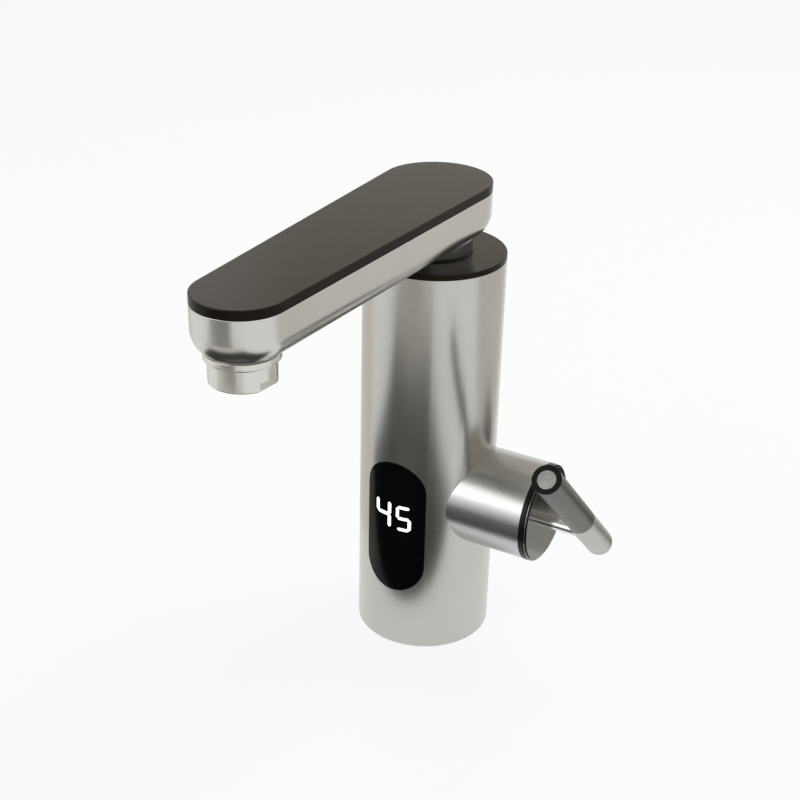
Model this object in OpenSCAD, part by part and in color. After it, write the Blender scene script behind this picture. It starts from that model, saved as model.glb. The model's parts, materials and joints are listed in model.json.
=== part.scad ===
// Instant-heating kitchen faucet with a swivel spout and a side lever.
// Millimetres. The origin is the centre of the underside, on the deck.
// +Z is up, the spout points along -Y and the lever arm along +X.

/* [Column] */
// Outside radius of the upright column
body_r = 30; // [26:0.5:34]
// Height of the silver column
body_h = 178; // [170:1:190]
// Wall of the drawn steel tubes
wall = 1.2; // [0.8:0.1:1.6]
// Height of the dark cap above the column
cap_h = 2.4; // [1.5:0.1:4]
// Thickness of the base plate
base_h = 6; // [5:0.5:8]

/* [Spout] */
// Distance from the swivel axis to the outlet axis
reach = 137.4; // [120:1:160]
// Plan radius of the spout at the column
spout_r_far = 22.6; // [20:0.2:25]
// Plan radius of the spout at the outlet
spout_r_near = 17.4; // [16:0.2:19]
// Height of the chrome neck between the washer and the spout
neck_h = 6.1; // [4:0.1:8]
// Depth of the spout shell below the top panel
shell_h = 19.4; // [19:0.1:22]
// Thickness of the dark top panel
panel_h = 3.7; // [2.5:0.1:5]
// Rounding of the top panel's upper edge
panel_edge = 0.7; // [0.3:0.1:1.5]
// Radius of the rounded lower edge of the spout
fillet_r = 10.3; // [6:0.1:12]
// Radius of the chrome neck under the spout
neck_r = 15.5; // [14:0.5:18]

/* [Arm and lever] */
// Height of the arm axis
arm_z = 71; // [68:0.5:75]
// Outside radius of the arm
arm_r = 21.6; // [20:0.2:23]
// Where the steel arm ends
arm_x = 55.1; // [54:0.1:60]
// Distance of the lever from the column axis
lever_x = 81.4; // [78:0.2:90]
// Offset of the lever stem from the arm axis
stem_off = 3.2; // [2:0.1:4]
// Lever angle above the horizontal as built
lever_tilt = 44.3; // [30:0.1:60]
// Length of the lever above its stem
lever_up = 79.3; // [65:0.1:95]
// Length of the lever below its stem
lever_down = 10.6; // [9:0.2:14]
// Lever radius
lever_r = 5.8; // [5:0.1:7]
// Stem radius
stem_r = 2.86; // [2.4:0.02:3.2]
// Height of the grip sleeve's lower end above the stem
sleeve_low = 22; // [12:0.1:26]
// Slant of the sleeve's lower end
sleeve_slant = 20; // [0:1:50]
// Turn of that slant about the lever
sleeve_turn = -36; // [-90:1:90]
// Thickness of the black ring on the sleeve's end
ring_t = 0.5; // [0.4:0.1:3]

/* [Display window] */
// Half width of the window
window_r = 13.8; // [12:0.1:15]
// Height of the lower round end of the window
window_z0 = 42.2; // [40:0.2:46]
// Height of the upper round end of the window
window_z1 = 78.8; // [74:0.2:80]

/* [Water parts] */
// Radius of the threaded inlet
inlet_r = 9.3; // [9:0.05:9.6]
// Wall of the inlet fitting round its thread
fitting_wall = 3.1; // [2.5:0.1:3.5]
// Metal between the inlet fitting and the column tube
inlet_margin = 2.4; // [2.2:0.1:3]
// Height of the heater tank's rim below the top of the column
head_room = 21; // [20:1:30]
// Distance from the column's outside to the heater tank
tank_space = 11; // [10.8:0.2:13]

/* [Mounting] */
// Radius of the two stud holes
stud_r = 3.3; // [3:0.1:3.5]
// Distance between the stud holes
stud_gap = 34; // [32:1:36]
// Distance of the studs in front of the centre
stud_y = 8; // [7:0.5:9]
// Radius of the cable hole
cable_r = 4; // [3:0.1:4.5]
// Metal between the cable gland and the column tube
cable_margin = 3.2; // [3:0.1:4.5]

/* [Fits] */
// Radial clearance of parts that turn or slide
run_fit = 0.05; // [0.03:0.01:0.1]
// Gap between a fixed face and a moving one
face_gap = 0.3; // [0.2:0.05:0.5]
// Radial clearance of parts that sit still in each other
snug = 0.05; // [0.02:0.01:0.1]

/* [Hidden] */
$fn = 64;
cap_z = body_h + cap_h;
body_in = body_r - wall;
inside_r = body_in - 0.3;
washer_h = 0.5;
washer_r = neck_r + 0.25;
neck_z = cap_z + washer_h;
neck_top = neck_z + neck_h;
spout_z = neck_top + face_gap;
neck_end = spout_z + 9.7;
neck_shank_r = neck_r - 4.5;
neck_stub_r = neck_r - 5.5;
shank_len = 9;
neck_nut_h = 4;
panel_z = spout_z + shell_h;
spout_top = panel_z + panel_h;
floor_h = 2.8;
inner_z = spout_z + floor_h;
lip_h = 2;
lip_gap = 0.15;
water_z = inner_z + 9.9;
boss_r = spout_r_far - 7.6;
boss_top = panel_z - lip_h - 0.2;
bush_r = neck_stub_r + 2;
bush_top = inner_z + 5.4;
o_ring_rows = [inner_z + 1.4, inner_z + 3.8];
pipe_r = 4.5;
nozzle_r = spout_r_near - 6.9;
flange_r = spout_r_near - 3.9;
flange_z = spout_z - 2.7;
recess_h = 1.8;
tub_in = fillet_r - wall;
far_seat = tub_in - sqrt(pow(tub_in, 2) - pow(boss_r - spout_r_far + wall + tub_in, 2));
near_seat = tub_in - sqrt(pow(tub_in, 2) - pow(nozzle_r - spout_r_near + wall + tub_in, 2));
nut_r = 12.1;
nut_h = 7;
nut_z = flange_z - nut_h;
flare_h = 2.4;
flat_h = 3.4;
flat_x = nut_r - 0.85;
flat_turn = -6;
thread_r = nut_r - 2.6;
outlet_bore = 6.5;
insert_top = 3.5;
nozzle_low = 4.6;
shelf_h = 3;
far_out = 2 * body_r;
tank_r = body_r - tank_space;
tank_top = body_h - head_room;
tank_wall = 1;
shelf_a = arm_z + 19;
shelf_b = tank_top + 6;
tank_z = shelf_a + shelf_h;
board_y = body_in - 6.4;
board_t = 1.6;
board_half = 14;
board_screw_x = 7;
board_screw_r = 1.2;
board_screw_len = 6;
board_head_r = 2.2;
board_head_h = 0.9;
display_y = body_in - 7.8;
display_half = 13;
display_low = window_z0 - 8.2;
digit_half = 8.5;
digit_depth = 2.4;
switch_half = 7;
switch_len = 20;
rib_in = inside_r - 4.5;
rib_y = 8;
fitting_r = inlet_r + fitting_wall;
fitting_low = 0.2;
thread_end = 12;
screen_r = inlet_r - 1.2;
screen_end = 20;
fitting_top = 22;
inlet_y = body_in - fitting_r - inlet_margin;
gland_r = cable_r + 1.6;
gland_flange_r = cable_r + 2.8;
gland_flange_h = 5;
cable_y = body_in - gland_r - cable_margin;
housing_r = inlet_r + 1.7;
water_r = 4;
valve_r = arm_r - 6.6;
valve_x = arm_x - 3.6;
valve_half = 12;
valve_front = 8;
collar_x = arm_x - 12;
port_in = 12;
cart_r = valve_r - 3.4;
cart_x = 26;
port_off = cart_r - 7;
port_r = 2.2;
port_small = 1.6;
duct_r = 3.4;
outlet_r = 5.8;
ring_w = 2.1;
disk_x = arm_x + ring_w + face_gap;
disk_w = 0.6;
disk_step = 0.6;
face_x = disk_x + disk_w + disk_step;
disk_r = arm_r - 0.1;
face_r = disk_r - 0.9;
spindle_r = 4;
nut_len = 4;
disc_r = cart_r - 3.35;
disc_w = 3;
disc_room = 12;
spindle_x = cart_x + 2 * disc_w;
spindle_end = disk_x - 2.4;
boss_len = 4.8;
stem_end = disk_x - 1.8;
stem_depth = 2.6;
grub_x = disk_x - 3.3;
grub_r = 1.25;
ring_r = lever_r + 0.1;
plug_len = 7;
disc_seat = 1.5;
tip_disc_r = 3.8;
grip_wall = 1.6;
flow_r = 6.3;
flow_z = 28;
flow_len = 8;
flow_bore = 20;
housing_top = arm_z - 15;
lens_in = body_r - 3;
gasket_in = body_in - 0.5;
window_lip = 2;
base_angles = [30, 60, 120, 150];
base_pitch = inside_r - 2.5;
screw_r = 1.1;
head_r = 1.6;
head_seat = 1.8;
screw_top = base_h + 8;
gasket_w = 1.05;
gasket_h = 2;
digit_z = 67;
element_x = 9.5;
element_r = 2.2;
seal_in = tank_r - tank_wall - 1.2;
seal_wire = 0.58;
element_bend = tank_z + 14;
element_top = shelf_b + 5;
probe_low = tank_z + 28;
switch_low = tank_z + 22;
cutout_z = tank_z + 30;
cutout_r = 6;
pipe_out = 5;
pipe_wall = 1.2;
probe_y = 11;
probe_r = 1.8;
screw_rows = [shelf_a + shelf_h / 2, shelf_b + shelf_h / 2];
spring_wire = 0.45;
spring_turns = 5;
spring_z0 = flow_z + 2 + spring_wire;
spring_z1 = flow_z + flow_bore - 2 - spring_wire;
spring_mid = 4.1;
spring_steps = 10;
spring_sides = 6;
arc_n = 40;
taper = asin((spout_r_far - spout_r_near) / reach);

// Helpers

module ring(r_out, r_in, z0, z1) {
    difference() {
        translate([0, 0, z0]) cylinder(h = z1 - z0, r = r_out);
        translate([0, 0, z0 - 1]) cylinder(h = z1 - z0 + 2, r = r_in);
    }
}

module rod(r, z0, z1) {
    translate([0, 0, z0]) cylinder(h = z1 - z0, r = r);
}

module rod_x(r, x0, x1) {
    translate([x0, 0, 0]) rotate([0, 90, 0]) cylinder(h = x1 - x0, r = r);
}

module rod_y(r, y0, y1) {
    translate([0, y1, 0]) rotate([90, 0, 0]) cylinder(h = y1 - y0, r = r);
}

module torus(r_mid, r_wire) {
    rotate_extrude() translate([r_mid, 0]) circle(r = r_wire);
}

// Upright slot with round ends that runs along Y through the front wall
module window_prism(r, y0, y1) {
    translate([0, 0, window_z0]) rod_y(r, y0, y1);
    translate([0, 0, window_z1]) rod_y(r, y0, y1);
    translate([-r, y0, window_z0]) cube([2 * r, y1 - y0, window_z1 - window_z0]);
}

// Plan of the spout: two arcs joined by their tangents, shrunk by d all round
function spout_outline(d) = concat(
    [for (j = [0 : arc_n]) let (a = -taper + (180 + 2 * taper) * j / arc_n)
        [(spout_r_far - d) * cos(a), (spout_r_far - d) * sin(a)]],
    [for (j = [0 : arc_n]) let (a = 180 + taper + (180 - 2 * taper) * j / arc_n)
        [(spout_r_near - d) * cos(a), (spout_r_near - d) * sin(a) - reach]]
);

// Stack of those outlines; each level is [height, shrink]
module spout_form(levels) {
    m = 2 * arc_n + 2;
    top = (len(levels) - 1) * m;
    points = [for (l = levels) for (p = spout_outline(l[1])) [p[0], p[1], l[0]]];
    side_a = [for (k = [0 : len(levels) - 2]) for (j = [0 : m - 1])
        [k * m + j, (k + 1) * m + j, (k + 1) * m + (j + 1) % m]];
    side_b = [for (k = [0 : len(levels) - 2]) for (j = [0 : m - 1])
        [k * m + j, (k + 1) * m + (j + 1) % m, k * m + (j + 1) % m]];
    low = [for (j = [1 : m - 2]) [0, j, j + 1]];
    high = [for (j = [1 : m - 2]) [top, top + j + 1, top + j]];
    polyhedron(points = points, faces = concat(side_a, side_b, low, high));
}

module spout_block(d, z0, z1) {
    spout_form([[z0, d], [z1, d]]);
}

// The top panel, with its upper edge rounded
module rounded_panel() {
    curve = [for (i = [0 : 3]) let (a = i * 90 / 3)
        [spout_top - panel_edge * (1 - sin(a)), panel_edge * (1 - cos(a))]];
    spout_form(concat([[panel_z, 0]], curve));
}

// The same with its lower edge rounded by f
module spout_tub(d, z0, z1, f) {
    curve = [for (i = [0 : 8]) let (a = i * 90 / 8) [z0 + f * (1 - cos(a)), d + f * (1 - sin(a))]];
    spout_form(concat(curve, [[z1, d]]));
}

// Lever frame: origin on the stem axis, +Z along the grip towards its tip
module at_lever() {
    translate([lever_x, 0, arm_z]) rotate([90 - lever_tilt, 0, 0])
        translate([0, -stem_off, 0]) children();
}

// Column

module body_shell() {
    color([0.7, 0.7, 0.69]) difference() {
        cylinder(h = body_h, r = body_r);
        translate([0, 0, -1]) cylinder(h = body_h + 2, r = body_in);
        window_prism(window_r + 0.1, -far_out, -body_r / 3);
        translate([0, 0, arm_z]) rod_x(valve_r + 1, body_r / 3, far_out);
    }
}

module base_plate() {
    color([0.6, 0.6, 0.6]) difference() {
        cylinder(h = base_h, r = body_in - snug);
        translate([0, inlet_y, -1]) cylinder(h = base_h + 2, r = fitting_r + snug);
        for (s = [-1, 1]) {
            translate([s * stud_gap / 2, -stud_y, -1]) cylinder(h = base_h + 2, r = stud_r);
        }
        translate([0, -cable_y, -1]) cylinder(h = base_h + 2, r = gland_r + snug);
        for (a = base_angles) {
            rotate([0, 0, a]) translate([base_pitch, 0, -1]) cylinder(h = base_h + 2, r = screw_r + snug);
            rotate([0, 0, a]) translate([base_pitch, 0, -1]) cylinder(h = 1 + head_seat, r = head_r + snug);
        }
        ring(far_out, body_in - gasket_w, -1, gasket_h);
    }
}

module deck_gasket() {
    color([0.06, 0.06, 0.06]) ring(body_in, body_in - gasket_w, 0, gasket_h);
}

module base_screws() {
    color([0.75, 0.75, 0.75]) for (a = base_angles) {
        rotate([0, 0, a]) translate([base_pitch, 0, 0]) difference() {
            union() {
                rod(head_r, 0.3, head_seat);
                rod(screw_r, head_seat - 0.1, screw_top);
            }
            translate([0, 0, -0.5]) cylinder(h = 1.6, r = 0.9, $fn = 6);
        }
    }
}

module cable_gland() {
    color([0.1, 0.1, 0.1]) translate([0, -cable_y, 0]) difference() {
        union() {
            rod(gland_r, 0.3, base_h);
            rod(gland_flange_r, base_h, base_h + gland_flange_h);
        }
        translate([0, 0, -1]) cylinder(h = base_h + gland_flange_h + 2, r = cable_r);
    }
}

// Water way in the base

module inlet_fitting() {
    color([0.8, 0.65, 0.35]) translate([0, inlet_y, 0]) difference() {
        rod(fitting_r, fitting_low, fitting_top);
        translate([0, 0, -1]) cylinder(h = thread_end + 1, r = inlet_r);
        translate([0, 0, thread_end - 1]) cylinder(h = screen_end - thread_end + 1, r = screen_r);
        translate([0, 0, screen_end - 1]) cylinder(h = fitting_top, r = water_r);
    }
}

module inlet_screen() {
    screen_top = screen_end - 0.1;
    color([0.75, 0.75, 0.75]) translate([0, inlet_y, 0]) difference() {
        rod(screen_r - snug, thread_end + 0.5, screen_top);
        translate([0, 0, thread_end]) cylinder(h = screen_top - thread_end - 1, r = screen_r - 1);
        for (a = [0 : 60 : 300]) {
            rotate([0, 0, a]) translate([4, 0, screen_top - 2]) cylinder(h = 3, r = 1.4);
        }
        translate([0, 0, screen_top - 2]) cylinder(h = 3, r = 1.6);
    }
}

module flow_switch_housing() {
    color([0.15, 0.15, 0.16]) translate([0, inlet_y, 0]) difference() {
        rod(housing_r, fitting_top, housing_top);
        translate([0, 0, flow_z - 2]) cylinder(h = flow_bore, r = flow_r + run_fit);
        translate([0, 0, fitting_top - 2]) cylinder(h = housing_top, r = water_r);
    }
}

module flow_piston() {
    color([0.9, 0.9, 0.88]) translate([0, inlet_y, 0]) difference() {
        rod(flow_r, flow_z, flow_z + flow_len);
        translate([0, 0, flow_z + 2]) cylinder(h = flow_len, r = flow_r - 1.6);
        for (a = [0 : 90 : 270]) {
            rotate([0, 0, a]) translate([2.6, 0, flow_z - 1]) cylinder(h = 5, r = 1.2);
        }
    }
}

// Return spring: one unbroken round wire wound as a helix
function spring_point(i, j) =
    let (n = spring_turns * spring_steps)
    let (a = 360 * i / spring_steps)
    let (b = 360 * j / spring_sides)
    let (z = spring_z0 + (spring_z1 - spring_z0) * i / n)
    let (r = spring_mid + spring_wire * cos(b))
    [r * cos(a), r * sin(a), z + spring_wire * sin(b)];

module flow_spring() {
    n = spring_turns * spring_steps;
    m = spring_sides;
    points = [for (i = [0 : n]) for (j = [0 : m - 1]) spring_point(i, j)];
    sides_a = [for (i = [0 : n - 1]) for (j = [0 : m - 1])
        [i * m + j, i * m + (j + 1) % m, (i + 1) * m + j]];
    sides_b = [for (i = [0 : n - 1]) for (j = [0 : m - 1])
        [i * m + (j + 1) % m, (i + 1) * m + (j + 1) % m, (i + 1) * m + j]];
    caps = [for (j = [1 : m - 2]) [0, j + 1, j]];
    tips = [for (j = [1 : m - 2]) [n * m, n * m + j, n * m + j + 1]];
    color([0.7, 0.7, 0.7]) translate([0, inlet_y, 0])
        polyhedron(points = points, faces = concat(sides_a, sides_b, caps, tips));
}

module reed_sensor() {
    color([0.2, 0.3, 0.2]) difference() {
        translate([inlet_r + 0.2, inlet_y - 4, flow_z]) cube([5, 8, 14]);
        translate([0, inlet_y, flow_z - 8]) cylinder(h = 40, r = housing_r + snug);
    }
}

// Inner carrier: a rear rib with two shelves
module shelf(z0) {
    difference() {
        translate([0, 0, z0]) cylinder(h = shelf_h, r = inside_r);
        translate([-far_out, -far_out - board_y, z0 - 1]) cube([2 * far_out, far_out, shelf_h + 2]);
    }
}

module chassis() {
    color([0.25, 0.25, 0.27]) difference() {
        union() {
            difference() {
                translate([0, 0, base_h]) cylinder(h = shelf_b + shelf_h - base_h, r = inside_r);
                cylinder(h = body_h, r = rib_in);
                translate([-far_out, rib_y - far_out, 0]) cube([2 * far_out, far_out, body_h]);
            }
            shelf(shelf_a);
            shelf(shelf_b);
        }
        translate([0, inlet_y, 0]) cylinder(h = housing_top + 1, r = fitting_r + 0.2);
        translate([0, 0, shelf_a - 1]) cylinder(h = shelf_h + 2, r = outlet_r + 0.2);
        translate([0, 0, arm_z]) rod_x(valve_r + 0.4, 5, far_out);
        translate([0, 0, shelf_b - 1]) cylinder(h = shelf_h + 2, r = pipe_out + 0.3);
        for (s = [-1, 1]) {
            translate([s * element_x, 0, shelf_b - 1]) cylinder(h = shelf_h + 2, r = element_r + 0.3);
        }
        translate([0, probe_y, shelf_b - 1]) cylinder(h = shelf_h + 2, r = probe_r + 0.3);
        for (a = base_angles) {
            rotate([0, 0, a]) translate([base_pitch, 0, 0]) cylinder(h = screw_top + 1, r = screw_r + snug);
        }
        board_screw_holes();
    }
}

// Valve

module valve_body() {
    color([0.78, 0.62, 0.33]) difference() {
        union() {
            translate([-valve_half, -valve_front, housing_top])
                cube([2 * valve_half, valve_front + inlet_y + 6, 2 * (arm_z - housing_top)]);
            translate([0, 0, arm_z]) rod_x(valve_r, valve_half - 1, valve_x);
            translate([0, 0, arm_z]) rod_x(arm_r - wall - snug, collar_x, collar_x + 4);
            rod(outlet_r, arm_z, tank_z);
        }
        translate([0, 0, arm_z]) rod_x(cart_r + snug, cart_x, valve_x + 1);
        for (s = [-1, 1]) {
            translate([0, 0, arm_z + s * port_off]) rod_x(port_r + 0.2, 0, cart_x + 1);
        }
        translate([0, 0, arm_z + port_off]) cylinder(h = tank_z, r = duct_r);
        translate([0, inlet_y, housing_top - 1]) cylinder(h = port_in, r = duct_r);
        translate([0, 0, arm_z - port_off]) rod_y(port_r + 0.2, 0, inlet_y + 1);
    }
}

module cartridge_body() {
    color([0.92, 0.92, 0.9]) translate([0, 0, arm_z]) difference() {
        rod_x(cart_r, cart_x, valve_x - nut_len);
        rod_x(disc_r + snug, cart_x - 1, cart_x + disc_room);
        rod_x(spindle_r + run_fit, cart_x, valve_x);
    }
}

module cartridge_nut() {
    color([0.78, 0.62, 0.33]) translate([0, 0, arm_z]) difference() {
        rod_x(cart_r, valve_x - nut_len, valve_x);
        translate([valve_x - nut_len - 1, 0, 0]) rotate([0, 90, 0])
            cylinder(h = nut_len + 2, r = spindle_r + 3.5, $fn = 6);
    }
}

module fixed_ceramic_disc() {
    color([0.95, 0.95, 0.95]) translate([0, 0, arm_z]) difference() {
        rod_x(disc_r, cart_x, cart_x + disc_w);
        for (s = [-1, 1]) {
            translate([0, 0, s * port_off]) rod_x(port_r, cart_x - 1, cart_x + disc_w + 1);
        }
    }
}

module rotating_ceramic_disc() {
    color([0.85, 0.85, 0.85]) translate([0, 0, arm_z]) difference() {
        rod_x(disc_r - 0.35, cart_x + disc_w + run_fit, spindle_x);
        for (a = [0, 45]) {
            rotate([a, 0, 0]) translate([0, 0, port_off])
                rod_x(port_small, cart_x + disc_w - 1, spindle_x - 1);
        }
    }
}

module cartridge_spindle() {
    color([0.78, 0.62, 0.33]) translate([0, 0, arm_z]) union() {
        rod_x(disc_r - 0.65, spindle_x, spindle_x + 4);
        rod_x(spindle_r, spindle_x + 4, spindle_end);
    }
}

module arm_shell() {
    color([0.7, 0.7, 0.69]) difference() {
        translate([0, 0, arm_z]) rod_x(arm_r, body_r / 2, arm_x);
        translate([0, 0, arm_z]) rod_x(arm_r - wall, body_r / 3, arm_x + 1);
        translate([0, 0, -1]) cylinder(h = body_h, r = body_r);
    }
}

module arm_ring() {
    color([0.05, 0.05, 0.05]) translate([0, 0, arm_z]) difference() {
        union() {
            rod_x(arm_r, arm_x, arm_x + ring_w);
            rod_x(arm_r - wall - snug, arm_x - 2.5, arm_x + 0.5);
        }
        rod_x(arm_r - 5.6, arm_x - 5, arm_x + 5);
    }
}

// Heater

module heater_tank() {
    color([0.65, 0.65, 0.66]) difference() {
        rod(tank_r, tank_z, tank_top);
        translate([0, 0, tank_z + 1.5]) cylinder(h = tank_top, r = tank_r - tank_wall);
        translate([0, 0, tank_z - 1]) cylinder(h = 5, r = duct_r);
    }
}

module heater_lid() {
    color([0.7, 0.7, 0.7]) difference() {
        union() {
            rod(tank_r + 1.5, tank_top, shelf_b);
            rod(tank_r - tank_wall - snug, tank_top - 3, tank_top + 1);
        }
        ring(tank_r, seal_in, tank_top - 2, tank_top - 0.6);
        translate([0, 0, tank_top - 5]) cylinder(h = 20, r = water_r);
        translate([0, 0, shelf_b - 2]) cylinder(h = 4, r = pipe_out + snug);
        for (s = [-1, 1]) {
            translate([s * element_x, 0, tank_top - 5]) cylinder(h = 20, r = element_r + snug);
        }
        translate([0, probe_y, tank_top - 5]) cylinder(h = 20, r = probe_r + snug);
    }
}

module lid_seal() {
    color([0.08, 0.08, 0.08]) translate([0, 0, tank_top - 1.3]) torus(seal_in + 0.6, seal_wire);
}

module heating_element() {
    color([0.6, 0.4, 0.3]) union() {
        for (s = [-1, 1]) {
            translate([s * element_x, 0, 0]) rod(element_r, element_bend, element_top);
        }
        intersection() {
            translate([0, 0, element_bend]) rotate([90, 0, 0]) torus(element_x, element_r);
            translate([-far_out, -far_out, element_bend - far_out])
                cube([2 * far_out, 2 * far_out, far_out + 0.01]);
        }
    }
}

module thermal_cutout() {
    color([0.1, 0.1, 0.1]) translate([0, 0, cutout_z]) difference() {
        rod_x(cutout_r, -tank_r - 4.5, -tank_r + 2);
        translate([0, 0, -2 * cutout_r]) cylinder(h = 4 * cutout_r, r = tank_r + snug);
    }
}

module temperature_probe() {
    color([0.75, 0.75, 0.75]) translate([0, probe_y, 0]) union() {
        rod(probe_r, probe_low, element_top - 1);
        rod(probe_r - 0.6, element_top - 2, element_top);
    }
}

// Electronics

module board_screw_holes() {
    for (z = screw_rows) {
        for (s = [-1, 1]) {
            translate([s * board_screw_x, 0, z])
                rod_y(board_screw_r + snug, -board_y - 5, -board_y + board_screw_len + 1);
        }
    }
}

module control_board() {
    color([0.1, 0.35, 0.15]) difference() {
        translate([-board_half, -board_y - board_t, shelf_a])
            cube([2 * board_half, board_t, shelf_b + shelf_h - shelf_a]);
        board_screw_holes();
    }
}

module power_switch_block() {
    color([0.12, 0.12, 0.12]) difference() {
        translate([-switch_half, -board_y, switch_low]) cube([2 * switch_half, board_y / 3, switch_len]);
        translate([0, 0, tank_z]) cylinder(h = tank_top, r = tank_r + snug);
    }
}

module board_screws() {
    board_face = -board_y - board_t;
    color([0.75, 0.75, 0.75]) for (z = screw_rows) {
        for (s = [-1, 1]) {
            translate([s * board_screw_x, 0, z]) difference() {
                union() {
                    rod_y(board_screw_r, board_face - board_head_h / 2, -board_y + board_screw_len);
                    rod_y(board_head_r, board_face - board_head_h, board_face);
                }
                translate([0, board_face - 0.3, 0]) rotate([90, 0, 0]) cylinder(h = 3, r = 1, $fn = 6);
            }
        }
    }
}

module display_board() {
    color([0.1, 0.3, 0.15]) translate([-display_half, -display_y - board_t, display_low])
        cube([2 * display_half, board_t, shelf_a - display_low]);
}

module digit_module() {
    color([0.02, 0.02, 0.02])
        translate([-digit_half, -display_y - board_t - digit_depth, digit_z - digit_half])
        cube([2 * digit_half, digit_depth, 2 * digit_half]);
}

module window_lens() {
    color([0.02, 0.02, 0.02]) union() {
        intersection() {
            ring(body_r, lens_in, 0, body_h);
            window_prism(window_r, -far_out, -body_r / 6);
        }
        intersection() {
            ring(gasket_in, lens_in, 0, body_h);
            window_prism(window_r + window_lip, -far_out, -body_r / 6);
        }
    }
}

module lens_gasket() {
    color([0.1, 0.1, 0.1]) intersection() {
        ring(body_in, gasket_in, 0, body_h);
        difference() {
            window_prism(window_r + window_lip, -far_out, -body_r / 6);
            window_prism(window_r + snug, -far_out - 1, 0);
        }
    }
}

// Neck

module riser_pipe() {
    color([0.7, 0.7, 0.7]) ring(pipe_out, pipe_out - pipe_wall, shelf_b - 2, cap_z - 4);
}

module top_cap() {
    color([0.13, 0.12, 0.11]) difference() {
        union() {
            rod(body_r, body_h, cap_z);
            rod(body_in - snug, body_h - neck_nut_h, body_h + 0.5);
        }
        translate([0, 0, body_h - 6]) cylinder(h = 20, r = neck_shank_r + snug);
    }
}

module neck_washer() {
    color([0.05, 0.05, 0.05]) ring(washer_r, neck_shank_r + snug, cap_z, neck_z);
}

module neck_collar() {
    color([0.85, 0.85, 0.86]) difference() {
        union() {
            rod(neck_shank_r, body_h - shank_len, neck_z + 0.5);
            rod(neck_r, neck_z, neck_top);
            rod(neck_stub_r, neck_top - 0.5, neck_end);
        }
        translate([0, 0, body_h - shank_len - 1])
            cylinder(h = neck_end - body_h + 2 * shank_len, r = pipe_out + snug);
        for (z = o_ring_rows) {
            ring(bush_r, neck_stub_r - 1.3, z - 0.75, z + 0.75);
        }
        ring(bush_r, neck_stub_r - 1.2, bush_top + 0.3, bush_top + 1.3);
    }
}

module neck_nut() {
    color([0.78, 0.62, 0.33]) difference() {
        translate([0, 0, body_h - 2 * neck_nut_h]) cylinder(h = neck_nut_h, r = neck_r + 1.5, $fn = 6);
        translate([0, 0, body_h - 2 * neck_nut_h - 1])
            cylinder(h = neck_nut_h + 2, r = neck_shank_r + snug);
    }
}

module neck_o_rings() {
    color([0.05, 0.05, 0.05]) for (z = o_ring_rows) {
        translate([0, 0, z]) torus(neck_stub_r - 0.64, 0.63);
    }
}

module neck_circlip() {
    color([0.5, 0.5, 0.5]) difference() {
        ring(bush_r + 0.4, neck_stub_r - 1.2 + snug, bush_top + 0.32, bush_top + 1.28);
        translate([-2, 0, bush_top]) cube([4, 2 * bush_r, 3]);
    }
}

// Spout

module spout_shell() {
    color([0.7, 0.7, 0.69]) difference() {
        spout_tub(0, spout_z, panel_z, fillet_r);
        spout_tub(wall, inner_z, panel_z + 1, fillet_r - wall);
        translate([0, 0, spout_z - 1]) cylinder(h = floor_h + 2, r = bush_r + snug);
        translate([0, -reach, spout_z - 1]) cylinder(h = floor_h + 2, r = thread_r + snug);
        translate([0, -reach, spout_z - 1]) cylinder(h = 1 + recess_h, r = flange_r + 0.1);
    }
}

module spout_top_panel() {
    rim = wall + lip_gap;
    color([0.14, 0.13, 0.12]) union() {
        rounded_panel();
        difference() {
            spout_block(rim, panel_z - lip_h, panel_z + 0.5);
            spout_block(rim + 1.6, panel_z - lip_h - 1, panel_z);
        }
    }
}

module swivel_boss() {
    color([0.9, 0.9, 0.88]) difference() {
        union() {
            rod(boss_r, inner_z + far_seat, panel_z - snug);
            rod(bush_r + 1, inner_z, inner_z + 2);
            translate([0, 0, water_z]) rod_y(pipe_r + 2, -boss_r - 6, 0);
        }
        translate([0, 0, inner_z - 1]) cylinder(h = boss_top - inner_z - 1, r = bush_r + snug);
        translate([0, 0, bush_top]) cylinder(h = boss_top - bush_top - 2, r = bush_r + 0.9);
        translate([0, 0, water_z]) rod_y(pipe_r + snug, -boss_r - 7, -boss_r + 2);
        translate([0, 0, water_z]) rod_y(pipe_r - 1, -boss_r + 1, 0);
    }
}

module swivel_bush() {
    color([0.95, 0.95, 0.92]) ring(bush_r, neck_stub_r + run_fit, spout_z + 0.2, bush_top);
}

module spout_waterway() {
    color([0.7, 0.7, 0.7]) translate([0, 0, water_z]) difference() {
        rod_y(pipe_r, -reach + nozzle_r - 2, -boss_r + 2);
        rod_y(pipe_r - 1, -reach, 0);
    }
}

module nozzle_body() {
    color([0.78, 0.62, 0.33]) translate([0, -reach, 0]) difference() {
        union() {
            rod(nozzle_r, inner_z + near_seat, panel_z - snug);
            rod(thread_r, nut_z + nozzle_low, inner_z + near_seat + 1);
        }
        translate([0, 0, nut_z]) cylinder(h = water_z + 5 - nut_z, r = outlet_bore);
        translate([0, 0, water_z]) rod_y(pipe_r + snug, nozzle_r - 2, nozzle_r + 5);
        translate([0, 0, water_z]) rod_y(pipe_r - 1, 0, nozzle_r);
    }
}

module nozzle_flange() {
    color([0.82, 0.82, 0.83]) translate([0, -reach, 0])
        ring(flange_r, thread_r + snug, flange_z, spout_z + recess_h - snug);
}

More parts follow.
